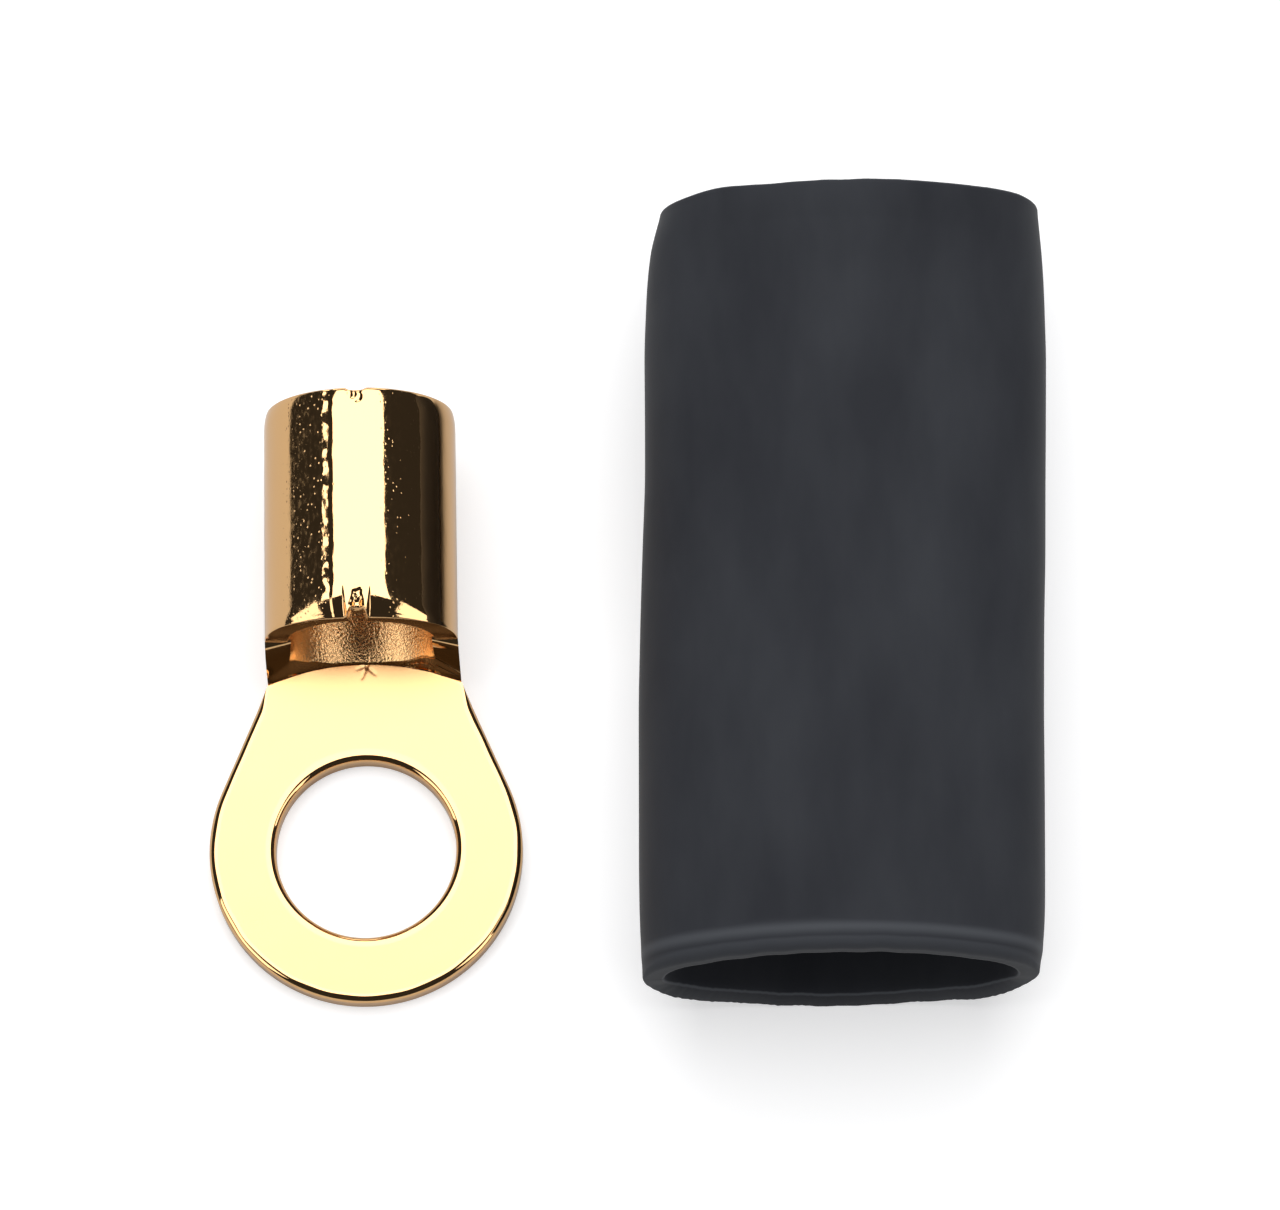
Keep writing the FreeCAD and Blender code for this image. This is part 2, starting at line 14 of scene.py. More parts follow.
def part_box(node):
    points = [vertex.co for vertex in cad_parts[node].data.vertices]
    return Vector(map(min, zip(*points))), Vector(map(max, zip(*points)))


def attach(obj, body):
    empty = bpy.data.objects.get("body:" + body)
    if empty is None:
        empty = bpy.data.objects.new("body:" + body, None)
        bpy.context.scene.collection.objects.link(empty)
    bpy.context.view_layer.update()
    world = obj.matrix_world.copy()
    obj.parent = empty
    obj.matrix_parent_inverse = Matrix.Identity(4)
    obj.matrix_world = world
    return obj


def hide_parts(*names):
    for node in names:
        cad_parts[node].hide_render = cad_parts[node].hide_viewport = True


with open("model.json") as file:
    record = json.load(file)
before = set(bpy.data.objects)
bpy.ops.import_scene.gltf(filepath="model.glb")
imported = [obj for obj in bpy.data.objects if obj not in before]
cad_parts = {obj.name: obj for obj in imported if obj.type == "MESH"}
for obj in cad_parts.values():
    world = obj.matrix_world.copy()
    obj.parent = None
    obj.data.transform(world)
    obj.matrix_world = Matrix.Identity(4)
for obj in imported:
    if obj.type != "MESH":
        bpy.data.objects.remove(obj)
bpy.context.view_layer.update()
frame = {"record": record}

bl_info = {
    "name": "Heat shrink ring terminal",
    "version": (1, 0, 0),
    "blender": (4, 5, 0),
    "location": "View3D > Sidebar > Ring terminal",
    "description": "Builds a gold-plated ring terminal and its heat shrink sleeve on a pale table",
    "category": "Object",
}

MM = 0.001
MOUNTS = {mount["name"]: mount for mount in frame["record"]["mounts"]}
TERMINAL_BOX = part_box("ring_terminal")
SLEEVE_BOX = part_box("heat_shrink_sleeve")
BORE = MOUNTS["wire_barrel"]


def length(name, description, default):
    """A size in metres that a user can change."""
    return bpy.props.FloatProperty(name=name, description=description, default=default,
                                   subtype="DISTANCE", unit="LENGTH", precision=5)


def angle(name, description, degrees):
    """An angle that a user can change. It is kept in radians."""
    return bpy.props.FloatProperty(name=name, description=description, default=math.radians(degrees),
                                   subtype="ANGLE", unit="ROTATION")


def linear(code):
    """The linear colour, with alpha, of an sRGB hex code such as E0AE69."""
    shares = [int(code[place:place + 2], 16) / 255 for place in (0, 2, 4)]
    return tuple(share / 12.92 if share <= 0.04045 else ((share + 0.055) / 1.055) ** 2.4
                 for share in shares) + (1.0,)


def colour(name, description, code):
    """A colour that a user can change, from its sRGB hex code."""
    return bpy.props.FloatVectorProperty(name=name, description=description, default=linear(code),
                                         subtype="COLOR", size=4, min=0.0, max=1.0)


class TerminalSettings(bpy.types.PropertyGroup):
    """Sizes and colours of the pressed and rolled terminal."""
    hole_radius: length("Hole radius", "Radius of the stud hole", MOUNTS["stud_hole"]["dims"]["r_mm"] * MM)
    ring_radius: length("Ring radius", "Outside radius of the ring", -TERMINAL_BOX[0].y)
    flat_height: length("Flat height", "Thickness of the pressed flat", MOUNTS["nut_face"]["pos_m"][2])
    ring_edge: length("Ring edge", "Rounding of the ring's upper edges", 0.34 * MM)
    neck_width: length("Neck width", "Width of the strip at the crease", 9.1 * MM)
    crease_distance: length("Crease distance", "Hole axis to the crease on the centre line", 8.84 * MM)
    crease_radius: length("Crease radius", "Radius of the punch's nose", 11.6 * MM)
    curl_lead: length("Curl lead", "How far before the crease's corners the strip starts to curl", 0.16 * MM)
    strip: length("Strip", "Thickness of the strip", BORE["pos_m"][2] - BORE["dims"]["r_mm"] * MM)
    barrel_radius: length("Barrel radius", "Outside radius of the rolled barrel", BORE["pos_m"][2])
    barrel_length: length("Barrel length", "Length of the rolled barrel",
                          (BORE["dims"]["length_mm"] - 0.03) * MM)
    barrel_end: length("Barrel end", "Hole axis to the barrel's far rim", TERMINAL_BOX[1].y + 0.17 * MM)
    hang: bpy.props.FloatVectorProperty(name="Hang", description="How the flat's mirror image is turned",
                                        default=(0.0, -0.087, 0.0), size=3, subtype="DIRECTION")
    gold: colour("Gold", "Colour of the plating", "E7B982")


class SleeveSettings(bpy.types.PropertyGroup):
    """Sizes and colours of the expanded tube."""
    tube_length: length("Length", "Cut length of the sleeve", 37.3 * MM)
    width: length("Width", "Across the pressed tube", 18.7 * MM)
    height: length("Height", "Height of the pressed tube", 11.3 * MM)
    side_radius: length("Side radius", "Outside radius of its folded sides", 4.0 * MM)
    wall: length("Wall", "Thickness of the tube's wall", 1.0 * MM)
    far_height: length("Far height", "Height of the far end", SLEEVE_BOX[1].z)
    skew: angle("Skew", "Both cuts, seen from above", 1.75)
    near_rake: angle("Near rake", "Near cut, seen from the side", 1.9)
    far_rake: angle("Far rake", "Far cut, seen from the side", 4.2)
    across: length("Across", "Hole axis to the sleeve's middle, across", MOUNTS["sleeve_bore"]["pos_m"][0])
    along: length("Along", "Hole axis to the sleeve's middle, along", MOUNTS["sleeve_bore"]["pos_m"][1])
    yaw: angle("Yaw", "How far the sleeve lies out of line with the barrel", 2.0)
    black: colour("Black", "Colour of the tube", "23252B")
    chalk: colour("Chalk", "Colour of its rubbed places", "4C4F54")


class StageSettings(bpy.types.PropertyGroup):
    """Table, lights and camera."""
    table: colour("Table", "Colour of the table", "DADADA")
    lift: colour("Lift", "How much the table is lifted to white for the camera", "B2B2B3")
    camera_distance: length("Camera distance", "Camera to the aim point", 290.0 * MM)
    camera_elevation: angle("Camera elevation", "Camera above the horizon", 74.5)
    camera_turn: angle("Camera turn", "How far the picture is turned about the vertical", -1.1)


def put_settings():
    """Where the settings live while the file is registered."""
    bpy.types.Scene.terminal_look = bpy.props.PointerProperty(type=TerminalSettings)
    bpy.types.Scene.sleeve_look = bpy.props.PointerProperty(type=SleeveSettings)
    bpy.types.Scene.stage_look = bpy.props.PointerProperty(type=StageSettings)


# Shapes

def ease(value):
    """Rises smoothly from 0 to 1 as the value does."""
    value = np.clip(value, 0.0, 1.0)
    return value * value * (3 - 2 * value)


def bump_at(value, centre, width):
    """A round hump of height 1 about the centre."""
    return np.exp(-((value - centre) / width) ** 2)


def unevenness(first, second, spacing, seed, waves=9):
    """Smooth hollows and humps of about unit height, about that spacing apart, the same on each run."""
    draw = np.random.default_rng(seed)
    total = 0.0
    for _ in range(waves):
        heading, phase = draw.uniform(0, 2 * math.pi, 2)
        turn = 2 * math.pi / (spacing * draw.uniform(0.7, 1.5))
        total = total + np.sin((first * math.cos(heading) + second * math.sin(heading)) * turn + phase)
    return total / math.sqrt(waves)


def ripple(place, spacing, seed):
    """The same along one line only."""
    return unevenness(place, 0 * place, spacing, seed)


def spaced(*stops):
    """Places from the first stop to the last. Each later stop is (place, number of steps to it)."""
    places = [stops[0]]
    for place, steps in stops[1:]:
        places.extend(np.linspace(places[-1], place, steps + 1)[1:])
    return np.array(places)


class Skin:
    """Closed surfaces made of grids of points, kept as one mesh with a mark or two on each point."""

    def __init__(self, *marks):
        self.points = []
        self.faces = []
        self.marks = {mark: [] for mark in marks}
        self.count = 0

    def add(self, grid, wrap_rows=False, flip=False, **marks):
        """Adds a grid of points, rows by columns, whose rows are rings, and returns the numbers of its points."""
        rows, columns = grid.shape[:2]
        numbers = self.count + np.arange(rows * columns).reshape(rows, columns)
        self.points.append(grid.reshape(-1, 3))
        self.count += rows * columns
        for mark, values in self.marks.items():
            values.append(np.broadcast_to(marks.get(mark, 0.0), (rows, columns)).ravel())
        lower = numbers if wrap_rows else numbers[:-1]
        upper = np.roll(numbers, -1, axis=0)[:len(lower)]
        corners = lower, np.roll(lower, -1, axis=1), np.roll(upper, -1, axis=1), upper
        faces = np.stack(corners, axis=-1).reshape(-1, 4)
        self.faces.append(faces[:, ::-1] if flip else faces)
        return numbers

    def bridge(self, one, other, flip=False):
        """Closes the gap between two equal rows of point numbers."""
        faces = np.stack((one[:-1], one[1:], other[1:], other[:-1]), axis=-1)
        self.faces.append(faces[:, ::-1] if flip else faces)

    def build(self, name, material, sharp_degrees):
        """The finished object, smooth but for edges that turn by more than that."""
        mesh = bpy.data.meshes.new(name)
        mesh.from_pydata(np.concatenate(self.points).tolist(), [], np.concatenate(self.faces).tolist())
        for mark, values in self.marks.items():
            layer = mesh.attributes.new(mark, "FLOAT", "POINT")
            layer.data.foreach_set("value", np.concatenate(values).astype(np.float32))
        mesh.validate()
        mesh.shade_smooth()
        mesh.set_sharp_from_angle(angle=math.radians(sharp_degrees))
        mesh.materials.append(material)
        piece = bpy.data.objects.new(name, mesh)
        bpy.context.scene.collection.objects.link(piece)
        return piece


def stack_points(x, y, z):
    """One array of points from three arrays that fit each other."""
    return np.stack(np.broadcast_arrays(x, y, z), axis=-1).astype(float)


# The terminal

def crease_y(look, x):
    """Where the crease runs, at each place across."""
    centre = look.crease_distance - look.crease_radius
    return centre + np.sqrt(np.maximum(look.crease_radius ** 2 - x ** 2, 0.0))


def curl_start(look):
    """Where the strip starts to curl, a little before the crease's corners."""
    return crease_y(look, look.neck_width / 2) - look.curl_lead


def strip_point(look, across, y, depth):
    """A point of the curling strip: across runs from -1 to 1, and depth from the outside inwards."""
    rim = look.barrel_end - look.barrel_length
    start = curl_start(look)
    share = np.clip((y - start) / (rim - start), 1e-4, 1.0)
    # Halfway the curl runs ahead of a straight one.
    ahead = 0.15 * np.sin(math.pi * share)
    turn = 2 * np.arctan(share + ahead)
    half = (look.neck_width * (1 - share) + 2 * look.barrel_radius * share) / 2
    radius = half / np.sin(turn)
    lean = turn * across
    return (radius - depth) * np.sin(lean), radius - (radius - depth) * np.cos(lean)


def segment_distance(x, y, start, end):
    """Distance from each place to the straight line between two points, and how far along it that is."""
    run = np.subtract(end, start)
    along = np.clip(((x - start[0]) * run[0] + (y - start[1]) * run[1]) / np.dot(run, run), 0.0, 1.0)
    return np.hypot(x - start[0] - along * run[0], y - start[1] - along * run[1]), along


# Folds that the punch left in the middle of the crease, in millimetres: ends, width and depth.
STAR_FOLDS = [
    ((0.10, 8.72), (0.18, 9.35), 0.085, 0.060),
    ((0.12, 8.80), (-0.12, 8.18), 0.055, 0.034),
    ((0.12, 8.72), (0.52, 8.36), 0.050, 0.030),
    ((0.10, 8.80), (-0.38, 8.62), 0.045, 0.020),
    ((0.14, 8.95), (0.46, 9.12), 0.050, 0.026),
    ((0.08, 9.00), (-0.24, 9.20), 0.050, 0.022),
]


def fold_depth(x, y):
    """How deep the folds about the middle of the crease are, at each place. Each fades towards its outer end."""
    depth = np.zeros(np.broadcast(x, y).shape)
    for start, end, width, deep in STAR_FOLDS:
        distance, along = segment_distance(x, y, np.multiply(start, MM), np.multiply(end, MM))
        depth = np.maximum(depth, deep * MM * np.exp(-(distance / (width * MM)) ** 2) * (1 - 0.6 * along))
    return depth


def tongue_outline(look):
    """Outline of the ring and its neck, from the crease's right corner round to it again.

    Each point has its edge's inward direction and the share of the rounding that it takes.
    """
    half = look.neck_width / 2
    corner = np.array((half, float(crease_y(look, half))))
    reach = math.hypot(*corner)
    touch = math.atan2(corner[1], corner[0]) - math.acos(look.ring_radius / reach)
    side = np.array((math.cos(touch), math.sin(touch)))
    points, inward, rounding = [], [], []

    def neck_side(share, hand):
        """A place between the crease's corner and the ring: hand is 1 on the right and -1 on the left."""
        x, y = corner + (look.ring_radius * side - corner) * share
        points.append((hand * x, y))
        inward.append((-hand * side[0], -side[1]))
        rounding.append(float(ease(share / 0.25)))

    # The flat runs on a little under the trough.
    overlap = 0.12 * MM
    for x in np.linspace(half, -half, 161):
        points.append((x, float(crease_y(look, x)) + overlap * (1 - (x / half) ** 8)))
        inward.append((0.0, -1.0))
        rounding.append(0.0)
    for share in np.linspace(0, 1, 61)[1:]:
        neck_side(share, -1)
    for turn in np.linspace(math.pi - touch, 2 * math.pi + touch, 421)[1:]:
        points.append((look.ring_radius * math.cos(turn), look.ring_radius * math.sin(turn)))
        inward.append((-math.cos(turn), -math.sin(turn)))
        rounding.append(1.0)
    for share in np.linspace(1, 0, 61)[1:-1]:
        neck_side(share, 1)
    return np.array(points), np.array(inward), np.array(rounding)


def add_tongue(skin, look):
    """The pressed flat: ring, stud hole and neck up to the crease."""
    outline, inward, rounding = tongue_outline(look)
    heading = np.arctan2(outline[:, 1], outline[:, 0])
    out = np.stack((np.cos(heading), np.sin(heading)), axis=-1)
    top = look.flat_height
    edge = look.ring_edge
    foot = 0.05 * MM
    hole = out * look.hole_radius
    rows, satin = [], []

    def row(place, height, dull=0.0):
        rows.append(np.column_stack((place, height + np.zeros(len(place)))))
        satin.append(dull)

    # Up the hole's wall and over its rounded edge.
    for height in (0.0, foot, top - edge):
        row(hole, height)
    for lean in np.radians(spaced(0, (90, 10))[1:]):
        row(hole + out * edge * (1 - math.cos(lean)), top - edge * (1 - math.sin(lean)))
    # Across the flat, which the press left a little uneven, to where the outer edge starts to round over.
    inner = hole + out * edge
    worn = 1 + 0.05 * unevenness(outline[:, 0], outline[:, 1], 2.2 * MM, 5)
    round_edge = (edge * np.maximum(rounding, 0.02) * worn)[:, None]
    outer = outline + inward * round_edge
    for share in spaced(0, (0.1, 3), (0.75, 14), (1.0, 16))[1:]:
        place = inner + (outer - inner) * share
        sag = 0.0012 * MM * unevenness(place[:, 0], place[:, 1], 2.6 * MM, 8) * (4 * share * (1 - share))
        dull = float(ease(share / 0.06) * ease((1 - share) / 0.04))
        row(place, top + sag - fold_depth(place[:, 0], place[:, 1]), dull)
    # Over the outer edge, down the wall and back under the flat.
    for lean in np.radians(spaced(0, (90, 10))[1:]):
        row(outline + inward * round_edge * (1 - math.sin(lean)), top - round_edge[:, 0] * (1 - math.cos(lean)))
    for height in (foot, 0.0):
        row(outline, height)
    for share in (0.25, 0.5, 0.75):
        row(outline + (hole - outline) * share, 0.0, 1.0)
    skin.add(np.array(rows), wrap_rows=True, flip=True, satin=np.array(satin)[:, None])


def add_trough(skin, look):
    """The strip from the crease, curling up to the half pipe that runs on into the barrel."""
    rim = look.barrel_end - look.barrel_length
    root = rim + 0.9 * MM
    gap = 0.004 * MM
    across = np.linspace(-1, 1, 161)[None, :]
    away = spaced(0, (0.12, 10), (0.34, 12), (1.0, 30))[:, None]
    surfaces = []
    for depth in (0.0, look.strip):
        # Where the strip's lines start on the crease's arc is found in a few rounds.
        start_x = across * look.neck_width / 2
        for _ in range(8):
            start_y = crease_y(look, start_x)
            start_x = strip_point(look, across, start_y, depth)[0]
        y = start_y + (root - start_y) * away
        # Inside the barrel its outside lies just under the barrel's, and its floor just over the bore's.
        if depth:
            cover = gap * (1 - 2.5 * ease((y - root + 0.3 * MM) / (0.3 * MM)))
        else:
            cover = gap * ease((y - rim) / (0.05 * MM))
        x, z = strip_point(look, across, y, depth + cover)
        surfaces.append((x, y, z))
    outer, (inner_x, inner_y, inner_z) = surfaces
    gone = inner_y - start_y
    # The wall that the punch's nose left runs down to the flat. It is wider towards both corners, and on the
    # right it has three small steps.
    width = (0.06 + 0.10 * np.clip(-across, 0, 1) + 0.20 * np.clip(across, 0, 1)) * MM
    share = gone / (width * (1 + 0.2 * ripple(start_x, 0.9 * MM, 21)))
    steps = 0.09 * np.clip(across * 1.6, 0, 1) * np.sin(3 * 2 * math.pi * np.clip(share, 0, 1))
    down = 1 - ease(share + steps)
    inner_z = inner_z - down * (inner_z - look.flat_height) - fold_depth(inner_x, inner_y)
    frost = ease(gone / (0.12 * MM)) * ease((1.02 - np.abs(across)) / 0.30)
    inner = stack_points(inner_x, inner_y, inner_z)
    grid = np.concatenate((stack_points(*outer), inner[:, ::-1]), axis=1)
    marks = np.concatenate((np.zeros_like(frost), frost[:, ::-1]), axis=1)
    numbers = skin.add(grid, flip=True, frosted=marks)
    columns = across.shape[1]
    for row, flip in ((numbers[0], False), (numbers[-1], True)):
        skin.bridge(row[:columns], row[columns:][::-1], flip=flip)


def barrel_surface(look, lean, y):
    """How far the barrel's outside stands out or in from a true round, at each place."""
    side = look.barrel_radius * lean
    past_rim = y - (look.barrel_end - look.barrel_length)
    before_end = look.barrel_end - y
    # The rolling left it wavy by a few thousandths.
    stand = 0.0018 * MM * unevenness(side, y, 1.6 * MM, 31)
    stand += 0.0005 * MM * unevenness(side, y, 0.5 * MM, 32)
    # The brazed seam lies in a shallow groove along the top.
    stand -= 0.012 * MM * bump_at(side, 0.0, 0.30 * MM)
    # Left of it the strip's edge was set down before brazing: a sharp step, then a narrow flat, ragged at its end.
    past = -1.15 * MM + 0.02 * MM * ripple(y, 2.4 * MM, 33) - side
    flat = (0.42 + 0.07 * ripple(y, 0.8 * MM, 35) + 0.06 * ripple(y, 0.34 * MM, 37)) * MM
    regained = np.clip((past - 0.09 * MM) / flat, 0.0, 1.0) ** 1.7
    stand -= 0.034 * MM * ease(past / (0.12 * MM)) * (1 - regained)
    stand += 0.0026 * MM * bump_at(side, -1.8 * MM, 0.5 * MM) * unevenness(side, y, 0.36 * MM, 36)
    # The far end is drawn in, steeply just before the rim.
    drawn = 0.96 * np.clip(1 - before_end / (0.95 * MM), 0.0, 1.0)
    stand -= 0.20 * MM * (1 - np.sqrt(1 - drawn ** 2))
    # At both rims the seam sinks into a wrinkled hollow.
    near_share = np.clip((1.6 * MM - past_rim) / (1.25 * MM), 0.0, 1.0) ** 1.3
    far_share = ease((1.1 * MM - before_end) / (0.75 * MM))
    hollow = 0.34 * MM * bump_at(side, -0.03 * MM, 0.25 * MM) * near_share
    hollow += 0.13 * MM * bump_at(side, -0.05 * MM, 0.36 * MM) * far_share
    return stand - hollow * (1 + 0.2 * unevenness(side, y, 0.35 * MM, 34))


def lip_size(look, lean):
    """How far back and how far down the near rim slopes: 1.85 and 0.52 mm on top, and 0.05 mm at the sides.

    The seam's two ridges stay proud up to the rim.
    """
    ridge = ease((0.66 * MM - np.abs(look.barrel_radius * lean + 0.03 * MM)) / (0.26 * MM))
    reach = (0.05 + 1.9 * np.clip(1.13 - np.abs(lean), 0.0, 0.95)) * (1 - 0.92 * ridge)
    drop = (0.05 + 0.6 * np.clip(0.97 - np.abs(lean), 0.0, 0.79)) * (1 - 0.6 * ridge)
    return reach * MM, drop * MM


def add_barrel(skin, look):
    """The rolled barrel: one wall turned about its axis, with the notches that the seam leaves at the rims."""
    radius = look.barrel_radius
    # Round from the seam, in the steps that its details need: finest up to 1.65 mm from it.
    detailed, upper, whole = 1.65 * MM / radius, 1.3, 2 * math.pi
    lean = spaced(-detailed, (detailed, 74), (upper, 40), (math.pi, 34), (whole - upper, 34),
                  (whole - detailed, 40))[:-1]
    lean = np.where(lean > math.pi, lean - whole, lean)
    side = radius * lean
    # Where each rim is, with the notch at the seam.
    at_seam = ease((0.55 * MM - np.abs(side)) / (0.25 * MM))
    near = look.barrel_end - look.barrel_length + 0.34 * MM * at_seam
    far = look.barrel_end - 0.10 * MM * at_seam
    pit_band = bump_at(side, -2.6 * MM, 1.0 * MM) + 0.35 * bump_at(side, 2.1 * MM, 0.9 * MM)
    floor = ease((0.5 - np.cos(lean)) / 0.6)
    rows, pits, frosts = [], [], []

    def add_row(y, distance, pitted, frosted):
        rows.append(stack_points(distance * np.sin(lean), y, radius + distance * np.cos(lean)))
        pits.append(pitted)
        frosts.append(frosted)

    def outside(y, distance):
        add_row(y, distance + barrel_surface(look, lean, y), pit_band, 0 * lean)

    def inside(y, distance):
        add_row(y, distance, 0 * lean, floor)

    # The near lip is a small round, which takes these shares of it, and then a long slope up to the outside.
    reach, drop = lip_size(look, lean)
    round_reach, round_drop = 0.08, 0.28
    for turn in np.radians(spaced(90, (0, 5))[:-1]):
        outside(near + round_reach * reach * (1 - math.sin(turn)),
                radius - drop * (1 - round_drop * math.cos(turn)))
    for share in spaced(1, (0, 18)):
        outside(near + reach * (1 - (1 - round_reach) * share), radius - (1 - round_drop) * drop * share ** 2.8)
    # The outside, and the far lip, a small round.
    far_lip = 0.08 * MM
    start, end = near + reach, far - far_lip
    for share in spaced(0, (0.12, 26), (0.88, 62), (1.0, 24))[1:]:
        outside(start + (end - start) * share, radius)
    for turn in np.radians(spaced(0, (90, 8))[1:]):
        outside(far - far_lip * (1 - math.sin(turn)), radius - far_lip * (1 - math.cos(turn)))
    # Back through the bore, chamfered at both ends.
    bore = radius - look.strip
    chamfer = 0.14 * MM
    inside(far, bore + chamfer)
    for share in spaced(0, (1.0, 24)):
        inside(far - chamfer + (near + chamfer - far + chamfer) * share, bore)
    inside(near, bore + chamfer)
    skin.add(np.array(rows), wrap_rows=True, pitted=np.array(pits), frosted=np.array(frosts))


# The sleeve

def oval_section(look, width, height, steps):
    """The pressed tube's section and which way it faces: two wide arcs, and two tight ones at its sides."""
    half_width, half_height = width / 2, height / 2
    side = look.side_radius
    reach = half_width - side
    wide = (reach ** 2 + half_height ** 2 - side ** 2) / (2 * (half_height - side))
    lean = np.arcsin(reach / (wide - side))
    drop = wide - half_height
    quarter = math.pi / 2
    share = np.linspace(0, 1, steps, endpoint=False)
    x, z, turns = [], [], []
    for centre_x, centre_z, radius, first, last in (
            (0 * reach, drop, wide, -quarter - lean, -quarter + lean),
            (reach, 0 * reach, side, -quarter + lean, quarter - lean),
            (0 * reach, -drop, wide, quarter - lean, quarter + lean),
            (-reach, 0 * reach, side, quarter + lean, 3 * quarter - lean)):
        turn = first + (last - first) * share
        turns.append(turn)
        x.append(centre_x + radius * np.cos(turn))
        z.append(half_height + centre_z + radius * np.sin(turn))
    turns = np.concatenate(turns)
    return np.concatenate(x), np.concatenate(z), np.cos(turns), np.sin(turns)


# How far the tube's left and right side lie from its middle line, in millimetres, from the near mouth on.
SLEEVE_SIDES = [
    (0.0, 8.98, 9.00), (0.6, 9.03, 9.15), (1.6, 9.11, 9.25), (3.0, 9.19, 9.32), (5.0, 9.25, 9.33), (9.0, 9.32, 9.32),
    (13.0, 9.39, 9.29), (17.0, 9.37, 9.31), (20.0, 9.33, 9.37), (23.5, 9.26, 9.38), (26.0, 9.30, 9.40),
    (30.0, 9.39, 9.42), (33.0, 9.32, 9.33), (34.5, 9.20, 9.24), (36.0, 8.96, 9.10), (37.3, 8.70, 8.98)]


def sleeve_sides(look, y):
    """How far the tube's left and right side lie from its middle, at that place along it."""
    along, left, right = np.array(SLEEVE_SIDES).T * MM
    window = y + look.tube_length / 2 + np.linspace(-0.7, 0.7, 9) * MM
    return np.interp(window, along, left).mean(), np.interp(window, along, right).mean()


def sleeve_height(look, y):
    """Height of the tube along its length: the far end springs back up."""
    share = float(ease((y - look.tube_length / 2 + 5.6 * MM) / (5.6 * MM)))
    return look.height + (look.far_height - look.height) * share


def cut_waver(x, z, height, seed, reach):
    """How far the knife strayed along the tube at each place of a cut end: more so on its lower half."""
    over = np.where(z > height / 2, 1.0, -1.0)
    rough = 0.25 + 0.75 * ease((height * 0.5 - z) / (height * 0.3))
    stray = ripple(x * over, 1.8 * MM, seed) + rough * ripple(x * over, 0.30 * MM, seed + 1)
    return 0.012 * MM * stray * reach


def add_sleeve(skin, look):
    """The tube's outside, both cut faces and its bore, as one closed skin."""
    near, far = -look.tube_length / 2, look.tube_length / 2
    # Each cut leans and strays up to this far into the tube.
    near_reach, far_reach, stray_reach = 5.0 * MM, 2.6 * MM, 1.2 * MM
    columns = 96
    rows, marks = [], []

    def row(y, inset, scuff=0.0):
        middle = float(np.mean(y))
        left, right = sleeve_sides(look, middle)
        height = sleeve_height(look, middle)
        x, z, facing_x, facing_z = oval_section(look, left + right, height, columns)
        x = x + (right - left) / 2 - inset * facing_x
        z = z - inset * facing_z
        tilt_near = max(0.0, 1 - (middle - near) / near_reach)
        tilt_far = max(0.0, 1 - (far - middle) / far_reach)
        shift = x * math.tan(look.skew) * (tilt_near + tilt_far)
        shift += z * (math.tan(look.near_rake) * tilt_near - math.tan(look.far_rake) * tilt_far)
        # The lower corners of the mouth and the upper corners of the far end stand out past the cut's plane.
        low = ease((height * 0.45 - z) / (height * 0.3))
        corners = 0.22 * bump_at(x, 7.0 * MM, 1.8 * MM) + 0.12 * bump_at(x, -7.3 * MM, 1.6 * MM)
        shift -= tilt_near * low * corners * MM
        high = ease((z - height * 0.5) / (height * 0.3))
        corners = 0.20 * bump_at(x, -6.2 * MM, 1.7 * MM) + 0.10 * bump_at(x, 7.3 * MM, 1.5 * MM)
        shift += tilt_far * high * corners * MM
        # A soft ridge runs round the outside behind the mouth's upper lip.
        if np.mean(inset) < 0.1 * MM:
            proud = 0.05 * MM * bump_at(middle, near + 1.05 * MM, 0.32 * MM) * ease((z / height - 0.4) / 0.3)
            x, z = x + proud * facing_x, z + proud * facing_z
        shift += cut_waver(x, z, height, 51, max(0.0, 1 - (middle - near) / stray_reach))
        shift += cut_waver(x, z, height, 61, max(0.0, 1 - (far - middle) / stray_reach))
        rows.append(stack_points(x, y + shift, z))
        marks.append(np.full(len(x), scuff))

    # The mouth's upper lip is rolled over, and its lower one keeps a nearly sharp edge.
    rise = oval_section(look, look.width, look.height, columns)[1] / look.height
    lip = (0.12 + 0.36 * ease((rise - 0.45) / 0.4)) * MM
    for turn in np.radians(spaced(90, (0, 8))):
        row(near + lip * (1 - math.sin(turn)), lip * (1 - math.cos(turn)), 0.35)
    for y in spaced(near + 0.62 * MM, (near + 2.0 * MM, 14), (near + 5 * MM, 10), (far - 5.6 * MM, 60),
                    (far - 0.15 * MM, 30)):
        row(y, 0.0, 0.7 * bump_at(y, near + 1.0 * MM, 0.28 * MM))
    # The far end is cut square, with the knife's paler mark on its face.
    row(far - 0.05 * MM, 0.03 * MM, 0.6)
    row(far, 0.10 * MM, 1.0)
    row(far, look.wall - 0.1 * MM, 1.0)
    row(far - 0.1 * MM, look.wall)
    for y in spaced(far - 0.6 * MM, (far - 5.6 * MM, 10), (near + 5 * MM, 30), (near + 0.6 * MM, 12)):
        row(y, look.wall)
    # The lower cut slants inwards.
    slant = 0.32 * MM * ease((0.5 - rise) / 0.3)
    row(near + slant + 0.10 * MM, look.wall)
    row(near + slant + 0.03 * MM, look.wall - 0.03 * MM, 1.0)
    row(near + slant * 0.94, look.wall - 0.08 * MM, 0.8)
    row(near + slant * 0.85, look.wall - 0.16 * MM, 0.1)
    grid = np.array(rows)
    along, over = math.cos(-look.yaw), math.sin(-look.yaw)
    x = look.across + grid[..., 0] * along - grid[..., 1] * over
    y = look.along + grid[..., 0] * over + grid[..., 1] * along
    skin.add(stack_points(x, y, grid[..., 2]), wrap_rows=True, flip=True, scuffed=np.array(marks))


# Finishes

